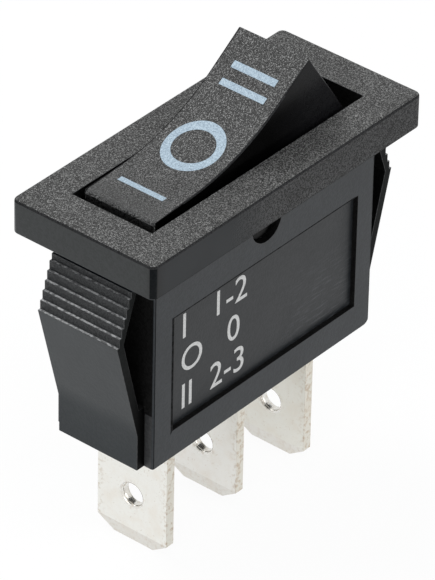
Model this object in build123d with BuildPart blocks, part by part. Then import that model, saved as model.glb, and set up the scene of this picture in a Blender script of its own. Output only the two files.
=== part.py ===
from build123d import *

import os
from math import atan2, cos, degrees, hypot, radians, sin, sqrt, tan

# Narrow panel-mounting rocker switch with three positions: I, O and II.
# Millimetres. The origin is the centre of the panel seat, the underside of the bezel.
# +X runs along the bezel to the end marked II, +Z points out of the panel.
# The switch is modelled with its end marked I pressed in.

# ---------------------------------------------------------------- body box and bezel
body_length = 23.9
body_width = 8.8
body_depth = 16.5
body_edge_radius = 0.15
foot_radius = 0.6  # the rounded foot of the end wall under II
floor_thickness = 1.2
end_wall = 0.55  # beside the rocker
side_wall = 0.8
chamber_end_wall = 1.2  # beside the contacts
well_depth = 8.0  # seat to the ledge where the end walls grow thicker
bezel_end_lip = 2.55
bezel_side_lip = 2.0
bezel_height = 2.8
bezel_corner_radius = 0.5
bezel_edge_radius = 0.25

# ---------------------------------------------------------------- snap arms
arm_width = 7.2
arm_thickness = 0.7
arm_foot_proud = 0.75
arm_foot_height = 2.9  # straight foot above the bottom of the body
arm_slot_height = 5.1  # bottom of the body to the floor of the slot behind the arm
knee_depth = 5.0
knee_proud = 3.0
catch_steps = 6
catch_pitch = 0.7
catch_ledge = 0.24
arm_bay_depth = 0.3  # relief in the bezel over each arm
arm_bay_clearance = 0.3

# ---------------------------------------------------------------- recessed side panel
panel_depth = 0.38
panel_margin_1 = 2.1  # from the body's end under I
panel_margin_2 = 1.8  # from the body's end under II
panel_head_margin = 4.7
panel_foot_margin = 2.3

# ---------------------------------------------------------------- rocker
pivot_depth = 1.75
pivot_pin_radius = 1.55
pivot_pin_reach = 0.85
pivot_pin_chamfer = 0.15
pivot_running_clearance = 0.05
throw_angle = 18.3
rocker_side_gap = 0.45
skirt_gap = 0.3
pressed_end_gap = 0.8
pressed_end_rise = 0.05  # pressed corner above the bezel face
dish_depth = 1.55
dish_end_slope = 15.6
end_face_lean = 16.0
skirt_drop = 1.75  # below the pivot
rocker_wall = 1.0
rocker_edge_radius = 0.15
web_thickness = 0.8
web_rim_clearance = 0.8  # the web stops above the skirt's rim

# ---------------------------------------------------------------- plunger and its spring
post_radius = 1.9
post_bore_radius = 1.25
post_bridge_gap = 3.8  # post's rim above the bridge's pivot
plunger_clearance = 0.05
plunger_body_length = 4.2
plunger_neck_length = 0.5
plunger_nose_radius = 0.9
plunger_pip_radius = 0.65
plunger_pip_length = 0.8
nose_clearance = 0.15
spring_wire = 0.32
spring_radius = 0.94
spring_coils = 7
spring_seat_clearance = 0.02

# ---------------------------------------------------------------- contact bridge
bridge_angle = 8.0
bridge_thickness = 0.5
bridge_width = 4.4
bridge_wing_slope = 10.0
bridge_wing_reach = 3.5
bridge_end_margin = 0.85
bridge_pin_radius = 0.3
bridge_pin_length = 0.9
bridge_pin_clearance = 0.05

# ---------------------------------------------------------------- contact rivets
contact_radius = 1.2
contact_shank_radius = 0.45
contact_head_height = 0.6
contact_dome_height = 0.15
contact_tail_radius = 0.8
contact_tail_height = 0.25
rivet_clearance = 0.02
closed_gap = 0.05  # between the closed contacts

# ---------------------------------------------------------------- terminals
strip_thickness = 0.8
tab_width = 6.4
tab_length = 10.1  # below the body
common_tab_shortfall = 0.5
tab_corner_cut = 1.4
tab_corner_rise = 1.0
tab_bevel_height = 1.1
tab_bevel_depth = 0.2
tab_hole_radius = 0.9
tab_hole_height = 4.1  # above the tip
tab_offset = 0.9  # blade plane to contact centre
strip_bend_radius = 0.3
slot_clearance = 0.05
strip_side_gap = 0.1
shelf_rise = 2.4  # chamber floor to the top of an outer terminal
shelf_margin = 1.7  # contact centre to the shelf's free edge
shelf_end_gap = 1.4  # that edge to the chamber's end
common_shelf_drop = 0.5  # under the bridge
common_shelf_reach = 1.3
ear_thickness = 0.6
ear_reach = 1.2
ear_rise = 1.0  # above the bridge's pins
ear_side_gap = 0.25

# ---------------------------------------------------------------- worked-out places
bezel_length = body_length + 2 * bezel_end_lip
bezel_width = body_width + 2 * bezel_side_lip
well_length = body_length - 2 * end_wall
well_width = body_width - 2 * side_wall
chamber_length = body_length - 2 * chamber_end_wall
panel_length = body_length - panel_margin_1 - panel_margin_2
panel_height = body_depth - panel_head_margin - panel_foot_margin
floor_z = -body_depth + floor_thickness

rocker_width = well_width - 2 * rocker_side_gap
skirt_radius = well_length / 2 - skirt_gap
low_x = well_length / 2 - pressed_end_gap
low_z = bezel_height + pressed_end_rise + pivot_depth
corner_radius = hypot(low_x, low_z)
corner_angle = degrees(atan2(low_z, low_x)) + throw_angle
corner_x = corner_radius * cos(radians(corner_angle))
corner_z = corner_radius * sin(radians(corner_angle))
dish_z = corner_z - dish_depth
ceiling_z = dish_z - rocker_wall

contact_reach = chamber_length / 2 - shelf_end_gap - shelf_margin  # pivot to contact
shelf_z = floor_z + shelf_rise
contact_face_z = shelf_z + contact_head_height
wing_z = bridge_wing_reach * tan(radians(bridge_wing_slope))
dome_radius = (contact_radius**2 + contact_dome_height**2) / (2 * contact_dome_height)
dome_tip_z = wing_z - bridge_thickness / 2 - contact_head_height - contact_dome_height
bridge_pivot_z = (
    contact_face_z
    + closed_gap
    + dome_radius
    + contact_reach * sin(radians(bridge_angle))
    - (dome_tip_z + dome_radius) * cos(radians(bridge_angle))
)
post_length = -pivot_depth - bridge_pivot_z - post_bridge_gap  # below the rocker's pivot
nose_lift = bridge_thickness / 2 + nose_clearance + plunger_nose_radius
nose_reach = -pivot_depth - bridge_pivot_z - nose_lift
plunger_top_z = -nose_reach + plunger_neck_length + plunger_body_length
common_shelf_z = bridge_pivot_z - bridge_thickness / 2 - common_shelf_drop
strip_width = well_width - 2 * strip_side_gap

# The rocker, its spring and its plunger share one frame, tilted about the pivot.
# Its X runs along the rocker, its Y is the pivot axis and its origin is on that axis.
rocker_frame = Plane((0, 0, -pivot_depth)).rotated((0, -throw_angle, 0))
rocker_side = Plane(rocker_frame.origin, rocker_frame.x_dir, -rocker_frame.y_dir)

# The bridge tips the other way, towards the contact under II.
bridge_frame = Plane((0, 0, bridge_pivot_z)).rotated((0, bridge_angle, 0))
bridge_side = Plane(bridge_frame.origin, bridge_frame.x_dir, -bridge_frame.y_dir)


os.makedirs("parts", exist_ok=True)


def save(builder, label):
    """Labels a finished piece and writes it as its own STEP file."""
    builder.part.label = label
    export_step(builder.part, f"parts/{label}.step")


def arm_outline(side):
    """Corner points, in X and Z, of the snap arm on the side -1 or +1 of the body."""
    wall_x = body_length / 2
    foot_x = wall_x + arm_foot_proud
    knee_x = wall_x + knee_proud
    lean = (knee_x - foot_x) / (body_depth - arm_foot_height - knee_depth)
    slot_x = foot_x + lean * (arm_slot_height - arm_foot_height) - arm_thickness
    slot_z = -body_depth + arm_slot_height
    tip_x = knee_x - catch_steps * catch_ledge
    tip_z = -knee_depth + catch_steps * catch_pitch
    outer = [(foot_x, -body_depth), (foot_x, -body_depth + arm_foot_height), (knee_x, -knee_depth)]
    for step in range(catch_steps):
        ledge_x = knee_x - (step + 1) * catch_ledge
        outer.append((ledge_x, -knee_depth + step * catch_pitch))
        outer.append((ledge_x, -knee_depth + (step + 1) * catch_pitch))
    inner = [
        (tip_x - arm_thickness, tip_z),
        (knee_x - arm_thickness, -knee_depth),
        (slot_x, slot_z),
        (wall_x - end_wall / 2, slot_z),
        (wall_x - end_wall / 2, -body_depth),
    ]
    return [(side * x, z) for x, z in outer + inner]


# ---------------------------------------------------------------- housing
with BuildPart() as housing:
    with BuildSketch(Plane.XY.offset(-body_depth)):
        Rectangle(body_length, body_width)
    extrude(amount=body_depth)
    upright = housing.edges().filter_by(Axis.Z)
    fillet(upright, body_edge_radius)
    foot = housing.edges().filter_by(Axis.Y).group_by(Axis.Z)[0].sort_by(Axis.X)[-1]
    fillet(foot, foot_radius)

    with BuildSketch():
        Rectangle(bezel_length, bezel_width)
        fillet(vertices(), bezel_corner_radius)
    extrude(amount=bezel_height)
    rim = housing.faces().sort_by(Axis.Z)[-1].edges()
    fillet(rim, bezel_edge_radius)

    for side in (-1, 1):
        with BuildSketch(Plane.XZ):
            with BuildLine():
                Polyline(*arm_outline(side), close=True)
            make_face()
        extrude(amount=arm_width / 2, both=True)

    # the well for the rocker, then the narrower chamber for the contacts
    with BuildSketch(Plane.XY.offset(bezel_height)):
        Rectangle(well_length, well_width)
    extrude(amount=-(bezel_height + well_depth), mode=Mode.SUBTRACT)
    with BuildSketch(Plane.XY.offset(-well_depth)):
        Rectangle(chamber_length, well_width)
    extrude(amount=floor_z + well_depth, mode=Mode.SUBTRACT)

    # pivot holes through both side walls
    with BuildSketch(Plane.XZ):
        with Locations((0, -pivot_depth)):
            Circle(pivot_pin_radius + pivot_running_clearance)
    extrude(amount=body_width, both=True, mode=Mode.SUBTRACT)

    # floor slots for the terminals
    with BuildSketch(Plane.XY.offset(-body_depth)):
        with Locations(*[(reach - tab_offset, 0) for reach in (-contact_reach, 0, contact_reach)]):
            Rectangle(strip_thickness + 2 * slot_clearance, tab_width + 2 * slot_clearance)
    extrude(amount=floor_thickness, mode=Mode.SUBTRACT)

    # relief in the bezel over the arms, where the panel's cut-out reaches
    bay_reach = knee_proud - (catch_steps - 1) * catch_ledge + arm_bay_clearance
    with BuildSketch():
        for side in (-1, 1):
            with Locations((side * (body_length + bay_reach) / 2, 0)):
                Rectangle(bay_reach, arm_width + 2 * arm_bay_clearance)
    extrude(amount=arm_bay_depth, mode=Mode.SUBTRACT)

    # recessed panel in the side wall
    with BuildSketch(Plane.XZ.offset(body_width / 2)):
        with Locations((-body_length / 2 + panel_margin_1, -body_depth + panel_foot_margin)):
            Rectangle(panel_length, panel_height, align=(Align.MIN, Align.MIN))
    extrude(amount=-panel_depth, mode=Mode.SUBTRACT)
save(housing, "housing")


def rocker_outline(rim_z):
    """Draws the rocker's side view in the current BuildLine, with its open rim at rim_z.

    The dish is an arc that runs out into two straight slopes. Each end face leans out to the
    skirt circle, which is centred on the pivot, and follows it down to the rim.
    """
    slope = radians(dish_end_slope)
    dish_radius = (corner_x * tan(slope) - dish_depth) / (1 / cos(slope) - 1)
    run_x = dish_radius * sin(slope)
    run_z = dish_z + dish_radius * (1 - cos(slope))
    lean = radians(end_face_lean)
    along = corner_z * cos(lean) - corner_x * sin(lean)
    across = corner_x * cos(lean) + corner_z * sin(lean)
    reach = along + sqrt(skirt_radius**2 - across**2)
    meet_x = corner_x + reach * sin(lean)
    meet_z = corner_z - reach * cos(lean)
    rim_x = sqrt(skirt_radius**2 - rim_z**2)
    middle = (atan2(meet_z, meet_x) + atan2(rim_z, rim_x)) / 2
    bulge_x = skirt_radius * cos(middle)
    bulge_z = skirt_radius * sin(middle)
    ThreePointArc((-run_x, run_z), (0, dish_z), (run_x, run_z))
    for side in (-1, 1):
        Line((side * run_x, run_z), (side * corner_x, corner_z))
        Line((side * corner_x, corner_z), (side * meet_x, meet_z))
        ThreePointArc((side * meet_x, meet_z), (side * bulge_x, bulge_z), (side * rim_x, rim_z))
    Line((-rim_x, rim_z), (rim_x, rim_z))


# ---------------------------------------------------------------- rocker
with BuildPart() as rocker:
    with BuildSketch(rocker_side):
        with BuildLine():
            rocker_outline(-skirt_drop)
        make_face()
    extrude(amount=rocker_width / 2, both=True)
    top_faces = rocker.faces().sort_by(rocker_frame.location.z_axis)[-3:]
    fillet(top_faces.edges(), rocker_edge_radius)

    # hollow from below
    with BuildSketch(rocker_side):
        with BuildLine():
            rocker_outline(-skirt_drop - 2 * rocker_wall)
        make_face()
        offset(amount=-rocker_wall, kind=Kind.INTERSECTION, mode=Mode.REPLACE)
    extrude(amount=rocker_width / 2 - rocker_wall, both=True, mode=Mode.SUBTRACT)

    # web along the middle, and the post for the plunger
    with BuildSketch(rocker_side):
        with BuildLine():
            rocker_outline(-skirt_drop)
        make_face()
        offset(amount=-web_rim_clearance, kind=Kind.INTERSECTION, mode=Mode.REPLACE)
    extrude(amount=web_thickness / 2, both=True)
    with BuildSketch(rocker_frame.offset(-post_length)):
        Circle(post_radius)
    extrude(amount=post_length + ceiling_z + rocker_wall / 2)
    with BuildSketch(rocker_frame.offset(-post_length)):
        Circle(post_bore_radius)
    extrude(amount=post_length + ceiling_z, mode=Mode.SUBTRACT)

    # pivot pins
    for side in (-1, 1):
        with BuildSketch(rocker_side.offset(side * rocker_width / 2)):
            Circle(pivot_pin_radius)
        extrude(amount=side * pivot_pin_reach)
        tip = rocker.edges().filter_by(GeomType.CIRCLE).sort_by(Axis.Y)
        chamfer(tip[0] if side > 0 else tip[-1], pivot_pin_chamfer)
save(rocker, "rocker")

# ---------------------------------------------------------------- plunger
plunger_radius = post_bore_radius - plunger_clearance
with BuildPart() as plunger:
    with BuildSketch(rocker_side):
        with BuildLine():
            neck_z = plunger_top_z - plunger_body_length
            pip_z = plunger_top_z + plunger_pip_length
            Line((0, -nose_reach - plunger_nose_radius), (0, pip_z))
            Polyline(
                (0, pip_z),
                (plunger_pip_radius, pip_z),
                (plunger_pip_radius, plunger_top_z),
                (plunger_radius, plunger_top_z),
                (plunger_radius, neck_z),
                (plunger_nose_radius, -nose_reach),
            )
            RadiusArc(
                (plunger_nose_radius, -nose_reach),
                (0, -nose_reach - plunger_nose_radius),
                plunger_nose_radius,
            )
        make_face()
    revolve(axis=Axis(rocker_frame.origin, rocker_frame.z_dir))
save(plunger, "plunger")

# ---------------------------------------------------------------- plunger spring
spring_low_z = plunger_top_z + spring_wire / 2 + spring_seat_clearance
spring_high_z = ceiling_z - spring_wire / 2 - spring_seat_clearance
spring_height = spring_high_z - spring_low_z
spring_base = rocker_frame.offset(spring_low_z)
with BuildPart() as plunger_spring:
    with BuildLine():
        coil = Helix(
            pitch=spring_height / spring_coils,
            height=spring_height,
            radius=spring_radius,
            center=spring_base.origin,
            direction=spring_base.z_dir,
        )
    with BuildSketch(Plane(coil @ 0, z_dir=coil % 0)):
        Circle(spring_wire / 2)
    sweep(path=coil, is_frenet=True)
save(plunger_spring, "plunger_spring")

# ---------------------------------------------------------------- contact bridge
half_strip = bridge_thickness / 2
bridge_half_length = contact_reach + bridge_end_margin
with BuildPart() as contact_bridge:
    with BuildSketch(bridge_side):
        with BuildLine():
            Polyline(
                (-bridge_half_length, wing_z),
                (-bridge_wing_reach, wing_z),
                (0, 0),
                (bridge_wing_reach, wing_z),
                (bridge_half_length, wing_z),
            )
            offset(amount=half_strip, side=Side.BOTH, kind=Kind.INTERSECTION)
        make_face()
    extrude(amount=bridge_width / 2, both=True)
    with BuildSketch(bridge_side):
        Circle(bridge_pin_radius)
    extrude(amount=bridge_width / 2 + bridge_pin_length, both=True)
    with BuildSketch(bridge_frame.offset(wing_z)):
        with Locations((-contact_reach, 0), (contact_reach, 0)):
            Circle(contact_shank_radius + rivet_clearance)
    extrude(amount=bridge_thickness, both=True, mode=Mode.SUBTRACT)
save(contact_bridge, "contact_bridge")


def contact_rivet(frame, grip, dome_height, tail_height):
    """A contact rivet on frame's Z axis: its head rises from frame's plane, which its strip meets.

    The shank runs down through a strip of thickness grip, to a flattened tail if it has one.
    """
    with BuildPart() as rivet:
        with BuildSketch(frame):
            Circle(contact_radius)
        extrude(amount=contact_head_height)
        if dome_height:
            side = Plane(frame.origin, frame.x_dir, -frame.y_dir)
            with BuildSketch(side):
                with BuildLine():
                    dome_top = (0, contact_head_height + dome_height)
                    head_edge = (contact_radius, contact_head_height)
                    TangentArc(dome_top, head_edge, tangent=(1, 0))
                    Polyline(head_edge, (0, contact_head_height), dome_top)
                make_face()
            revolve(axis=Axis(frame.origin, frame.z_dir))
        with BuildSketch(frame):
            Circle(contact_shank_radius)
        extrude(amount=-grip)
        if tail_height:
            with BuildSketch(frame.offset(-grip)):
                Circle(contact_tail_radius)
            extrude(amount=-tail_height)
    return rivet


def under_bridge(reach):
    """The plane on the bridge's underside at a contact, facing down."""
    on_wing = bridge_frame.location * Location((reach, 0, wing_z - half_strip))
    return Plane(on_wing.position, bridge_frame.x_dir, -bridge_frame.z_dir)


def on_shelf(reach):
    """The plane on an outer terminal's shelf at its contact, facing up."""
    return Plane((reach, 0, shelf_z))


for number, reach in ((1, -contact_reach), (2, contact_reach)):
    moving_contact = contact_rivet(
        under_bridge(reach), bridge_thickness, contact_dome_height, contact_tail_height
    )
    save(moving_contact, f"moving_contact_{number}")
    fixed_contact = contact_rivet(on_shelf(reach), strip_thickness, dome_height=0, tail_height=0)
    save(fixed_contact, f"fixed_contact_{number}")


def strip_terminal(contact_x, top_z, shelf_end, tip_z):
    """A stamped terminal: a blade below the body, bent over into a shelf that ends at shelf_end.

    The strip's side view is cut to its front view, which is narrow below the chamber floor.
    """
    blade_x = contact_x - tab_offset
    middle_z = top_z - strip_thickness / 2
    bend = strip_bend_radius + strip_thickness / 2
    with BuildPart() as terminal:
        with BuildSketch(Plane.XZ):
            with BuildLine():
                FilletPolyline((blade_x, tip_z), (blade_x, middle_z), (shelf_end, middle_z), radius=bend)
                offset(amount=strip_thickness / 2, side=Side.BOTH, kind=Kind.INTERSECTION)
            make_face()
        extrude(amount=strip_width / 2, both=True)
        half_tab = tab_width / 2
        with BuildSketch(Plane.YZ.offset(blade_x - strip_thickness)):
            with BuildLine():
                right = [
                    (half_tab - tab_corner_cut, tip_z),
                    (half_tab, tip_z + tab_corner_rise),
                    (half_tab, floor_z),
                    (strip_width / 2, floor_z),
                    (strip_width / 2, top_z),
                ]
                left = [(-y, z) for y, z in reversed(right)]
                Polyline(*right, *left, close=True)
            make_face()
        extrude(amount=shelf_end - blade_x + 2 * strip_thickness, mode=Mode.INTERSECT)
        # both faces are bevelled towards the tip
        for side in (-1, 1):
            face_x = blade_x + side * strip_thickness / 2
            with BuildSketch(Plane.XZ):
                with BuildLine():
                    Polyline(
                        (face_x, tip_z),
                        (face_x, tip_z + tab_bevel_height),
                        (face_x - side * tab_bevel_depth, tip_z),
                        close=True,
                    )
                make_face()
            extrude(amount=tab_width, both=True, mode=Mode.SUBTRACT)
        with BuildSketch(Plane.YZ.offset(blade_x)):
            with Locations((0, tip_z + tab_hole_height)):
                Circle(tab_hole_radius)
        extrude(amount=strip_thickness, both=True, mode=Mode.SUBTRACT)
    return terminal


# ---------------------------------------------------------------- outer terminals
outer_tip_z = -body_depth - tab_length
for number, reach in ((1, -contact_reach), (2, contact_reach)):
    plain = strip_terminal(reach, shelf_z, reach + shelf_margin, outer_tip_z)
    with BuildPart() as terminal:
        add(plain.part)
        with BuildSketch(Plane.XY.offset(shelf_z)):
            with Locations((reach, 0)):
                Circle(contact_shank_radius + rivet_clearance)
        extrude(amount=-strip_thickness, mode=Mode.SUBTRACT)
    save(terminal, f"terminal_{number}")

# ---------------------------------------------------------------- common terminal
common_tip_z = outer_tip_z + common_tab_shortfall
plain_common = strip_terminal(0, common_shelf_z, common_shelf_reach, common_tip_z)
ear_y = bridge_width / 2 + ear_side_gap
with BuildPart() as terminal_common:
    add(plain_common.part)
    for side in (-1, 1):
        with BuildSketch(Plane.XZ.offset(-side * ear_y)):
            with Locations((0, (common_shelf_z + bridge_pivot_z + ear_rise) / 2)):
                Rectangle(2 * ear_reach, bridge_pivot_z + ear_rise - common_shelf_z)
            notch_radius = bridge_pin_radius + bridge_pin_clearance
            with Locations((0, bridge_pivot_z)):
                Circle(notch_radius, mode=Mode.SUBTRACT)
            with Locations((0, bridge_pivot_z + ear_rise / 2)):
                Rectangle(2 * notch_radius, ear_rise, mode=Mode.SUBTRACT)
        extrude(amount=-side * ear_thickness)
save(terminal_common, "terminal_common")
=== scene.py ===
"""Looks of a narrow three-position rocker switch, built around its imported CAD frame.

The moulded housing with its ribbed snap arms, the dished rocker, the printed marks, the spring
and the tinned blade terminals are modelled here. The rest of the mechanism keeps its CAD meshes.
"""

import logging
import math
from contextlib import contextmanager
from dataclasses import dataclass
from enum import Enum
from typing import Any, Callable, Iterator, Optional

import bpy
from mathutils import Matrix, Vector


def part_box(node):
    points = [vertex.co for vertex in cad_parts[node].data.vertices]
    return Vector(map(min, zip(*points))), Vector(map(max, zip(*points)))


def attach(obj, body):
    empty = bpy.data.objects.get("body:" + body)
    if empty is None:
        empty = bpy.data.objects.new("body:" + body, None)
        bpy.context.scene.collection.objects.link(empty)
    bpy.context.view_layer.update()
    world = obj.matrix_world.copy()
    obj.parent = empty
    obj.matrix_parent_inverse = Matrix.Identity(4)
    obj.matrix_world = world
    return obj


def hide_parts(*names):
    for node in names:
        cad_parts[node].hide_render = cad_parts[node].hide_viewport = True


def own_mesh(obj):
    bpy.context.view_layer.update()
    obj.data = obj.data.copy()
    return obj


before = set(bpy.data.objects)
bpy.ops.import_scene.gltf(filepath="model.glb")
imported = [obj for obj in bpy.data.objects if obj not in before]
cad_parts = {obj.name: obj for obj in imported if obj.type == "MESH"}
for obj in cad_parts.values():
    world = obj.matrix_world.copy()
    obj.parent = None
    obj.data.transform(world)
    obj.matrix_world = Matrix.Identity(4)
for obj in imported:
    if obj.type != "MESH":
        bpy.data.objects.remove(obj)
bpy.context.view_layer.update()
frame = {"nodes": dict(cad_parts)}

MM = 0.001
NEAR = 0.01  # millimetres within which a face counts as lying on a plane
TIGHT = 0.001  # millimetres within which an edge counts as lying on one
BELOW = -1.0  # a height well below the bezel, in millimetres
SAME_POINT = 2e-6  # metres within which two corners count as one
ON_CUT = 1e-7  # metres within which a corner counts as lying on a cut
SAME_FLAT = math.radians(0.4)  # the most turn between two faces that become one
SWING = 0.14  # how far a cloudy roughness runs from its least to its most
FACING = 0.9  # the least share of a direction that counts as pointing along an axis
FLAT = 0.98  # that share on a face of a flat, and not of a rounding
UNBROKEN = 0.999  # that share on a face that no broken edge took up
EDGE_SLOT = 1  # the material slot of a piece's broken edges
HALF_TURN = Matrix.Rotation(math.pi, 4, "Z")
LOG = logging.getLogger("rocker_switch")

Point = tuple[float, float, float]
Pair = tuple[float, float]
Colour = tuple[float, float, float]
Ramp = Optional[tuple[str, float, float]]
Test = Callable[[Vector, Vector], bool]


class Element(Enum):
    """What an edit-mode selection holds."""

    CORNERS = (True, False, False)
    EDGES = (False, True, False)
    FACES = (False, False, True)


class Merge(Enum):
    """How one solid is combined with another."""

    UNION = "UNION"
    CUT = "DIFFERENCE"
    COMMON = "INTERSECT"


# ---------------------------------------------------------------- shaping by hand


def deselect_all() -> None:
    """Deselects every object."""
    bpy.ops.object.select_all(action="DESELECT")


def everything(at: Vector, way: Vector) -> bool:
    """Picks every element."""
    return True


def leans_under(way: Vector) -> bool:
    """Tells whether a face leans and looks partly down."""
    return -0.99 < way.z < -0.05


class Piece:
    """One mesh object being shaped, with its sizes in millimetres.

    A test picks faces, edges or corners. It gets a place in millimetres and a direction: a
    face's centre and normal, an edge's middle and direction, or a corner and its normal.
    """

    def __init__(self, obj: bpy.types.Object, name: str) -> None:
        """Takes over a new object.

        Args:
            obj: The object, just added and active.
            name: The name that it gets.
        """
        self.obj = obj
        obj.name = name
        obj.data.name = name
        self.settle()

    @classmethod
    def added(cls, name: str, add: Callable[..., Any], **settings: Any) -> "Piece":
        """Adds a primitive.

        Args:
            name: The piece's name.
            add: The operator that adds it.
            **settings: The operator's settings.

        Returns:
            The piece.
        """
        deselect_all()
        add(**settings)
        return cls(bpy.context.object, name)

    @classmethod
    def block(cls, name: str, low: Point, high: Point) -> "Piece":
        """Adds a box between two corners.

        Args:
            name: The piece's name.
            low: Its lowest corner.
            high: Its highest corner.

        Returns:
            The box.
        """
        start, end = Vector(low) * MM, Vector(high) * MM
        box = cls.added(name, bpy.ops.mesh.primitive_cube_add, size=1)
        box.obj.location = (start + end) / 2
        box.obj.scale = end - start
        box.settle()
        return box

    @classmethod
    def rod(cls, name: str, start: Point, end: Point, radius: float, sides: int = 64) -> "Piece":
        """Adds a cylinder between two points.

        Args:
            name: The piece's name.
            start: The centre of its first end.
            end: The centre of its other end.
            radius: Its radius.
            sides: How many flat sides stand for its round wall.

        Returns:
            The cylinder.
        """
        along = (Vector(end) - Vector(start)) * MM
        return cls.added(
            name,
            bpy.ops.mesh.primitive_cylinder_add,
            vertices=sides,
            radius=radius * MM,
            depth=along.length,
            location=(Vector(start) + Vector(end)) * MM / 2,
            rotation=along.to_track_quat("Z", "Y").to_euler(),
        )

    @classmethod
    def ring(cls, name: str, sides: int, radius: float, centre: Point, turn: Point) -> "Piece":
        """Adds an open circle of edges.

        Args:
            name: The piece's name.
            sides: How many edges it has.
            radius: Its radius.
            centre: Its centre.
            turn: Its turn about each axis, in radians.

        Returns:
            The circle.
        """
        return cls.added(
            name,
            bpy.ops.mesh.primitive_circle_add,
            vertices=sides,
            radius=radius * MM,
            fill_type="NOTHING",
            location=Vector(centre) * MM,
            rotation=turn,
        )

    def focus(self) -> None:
        """Makes the piece the active object, and the only one selected."""
        deselect_all()
        self.obj.select_set(True)
        bpy.context.view_layer.objects.active = self.obj

    def settle(self) -> None:
        """Applies the object's place, turn and size to its mesh."""
        self.focus()
        bpy.ops.object.transform_apply(location=True, rotation=True, scale=True)

    def _select(self, element: Element, test: Test) -> None:
        """Selects the elements that pass a test, and nothing else.

        Args:
            element: Which kind of element.
            test: Which of them.
        """
        mesh = self.obj.data
        for group in (mesh.vertices, mesh.edges, mesh.polygons):
            group.foreach_set("select", [False] * len(group))
        if element is Element.FACES:
            for face in mesh.polygons:
                face.select = test(face.center / MM, face.normal)
        elif element is Element.EDGES:
            for edge in mesh.edges:
                start, end = (mesh.vertices[i].co for i in edge.vertices)
                edge.select = test((start + end) / (2 * MM), (end - start).normalized())
        else:
            for corner in mesh.vertices:
                corner.select = test(corner.co / MM, corner.normal)

    @contextmanager
    def picked(self, element: Element, test: Test = everything) -> Iterator[None]:
        """Enters edit mode with picked elements selected, and leaves it after.

        Args:
            element: Which kind of element.
            test: Which of them.
        """
        self._select(element, test)
        self.focus()
        bpy.context.tool_settings.mesh_select_mode = element.value
        bpy.ops.object.mode_set(mode="EDIT")
        try:
            yield
        finally:
            bpy.ops.object.mode_set(mode="OBJECT")

    def move(self, test: Test, by: Point) -> None:
        """Moves the picked corners."""
        with self.picked(Element.CORNERS, test):
            bpy.ops.transform.translate(value=Vector(by) * MM)

    def extrude(self, test: Test, by: Point) -> None:
        """Extrudes the picked faces."""
        with self.picked(Element.FACES, test):
            bpy.ops.mesh.extrude_region_move(TRANSFORM_OT_translate={"value": Vector(by) * MM})

    def bevel(self, test: Test, width: float, segments: int) -> None:
        """Rounds the picked edges by a radius, with a number of flats."""
        with self.picked(Element.EDGES, test):
            bpy.ops.mesh.bevel(offset=width * MM, segments=segments, profile=0.5, affect="EDGES")

    def slice(self, point: Point, normal: Point, trim: bool = False) -> None:
        """Cuts the mesh along a plane.

        Args:
            point: A point on the plane.
            normal: The plane's normal.
            trim: Whether what lies on the normal's side is cut off and the cut closed.
        """
        with self.picked(Element.FACES):
            bpy.ops.mesh.bisect(
                plane_co=Vector(point) * MM,
                plane_no=Vector(normal).normalized(),
                use_fill=trim,
                clear_outer=trim,
                threshold=ON_CUT,
            )

    def modify(self, kind: str, **settings: Any) -> None:
        """Adds a modifier and applies it.

        Args:
            kind: The modifier's type.
            **settings: Its properties.
        """
        self.focus()
        modifier = self.obj.modifiers.new(kind.lower(), kind)
        for key, value in settings.items():
            setattr(modifier, key, value)
        bpy.ops.object.modifier_apply(modifier=modifier.name)

    def merge(self, how: Merge, *others: "Piece") -> None:
        """Adds other pieces, cuts them away or keeps what is shared, and uses them up."""
        for other in others:
            self.modify("BOOLEAN", object=other.obj, operation=how.value, solver="EXACT")
            bpy.data.objects.remove(other.obj, do_unlink=True)

    def clean(self) -> None:
        """Merges doubled corners, joins flat neighbouring faces and turns them all outward."""
        with self.picked(Element.CORNERS):
            bpy.ops.mesh.remove_doubles(threshold=SAME_POINT)
            bpy.ops.mesh.dissolve_limited(angle_limit=SAME_FLAT)
            bpy.ops.mesh.select_all(action="SELECT")
            bpy.ops.mesh.normals_make_consistent(inside=False)

    def soften(self, width: float, segments: int = 2, angle: float = 35.0) -> None:
        """Breaks the sharp edges, which get the edge finish, and smooths the shading.

        Args:
            width: How wide the broken edges are.
            segments: How many flats make each.
            angle: The least turn, in degrees, that counts as sharp.
        """
        self.modify(
            "BEVEL",
            width=width * MM,
            segments=segments,
            limit_method="ANGLE",
            angle_limit=math.radians(angle),
            harden_normals=False,
            use_clamp_overlap=True,
            material=EDGE_SLOT,
        )
        with self.picked(Element.CORNERS):
            bpy.ops.mesh.dissolve_degenerate(threshold=SAME_POINT)
        self.focus()
        bpy.ops.object.shade_smooth_by_angle(angle=math.radians(angle))
        self.modify("WEIGHTED_NORMAL", mode="FACE_AREA", weight=50, keep_sharp=True)

    def turn(self, matrix: Matrix) -> None:
        """Places the piece by a matrix whose lengths are in millimetres.

        Args:
            matrix: The matrix.
        """
        place = matrix.copy()
        place.translation *= MM
        self.obj.matrix_world = place @ self.obj.matrix_world
        self.settle()

    def copy(self, name: str, matrix: Matrix) -> "Piece":
        """Copies the piece, with a mesh of its own.

        Args:
            name: The copy's name.
            matrix: Places the copy, as in turn.

        Returns:
            The copy.
        """
        self.focus()
        bpy.ops.object.duplicate(linked=False)
        made = Piece(bpy.context.object, name)
        made.turn(matrix)
        return made

    def remove(self) -> None:
        """Takes the piece away once its copies are made."""
        mesh = self.obj.data
        bpy.data.objects.remove(self.obj)
        bpy.data.meshes.remove(mesh)

    def paint(self, *finishes: "Finish") -> None:
        """Gives the whole piece the first finish, and keeps the second for its broken edges."""
        self.obj.data.materials.clear()
        for finish in finishes:
            self.obj.data.materials.append(finish.material())

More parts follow.
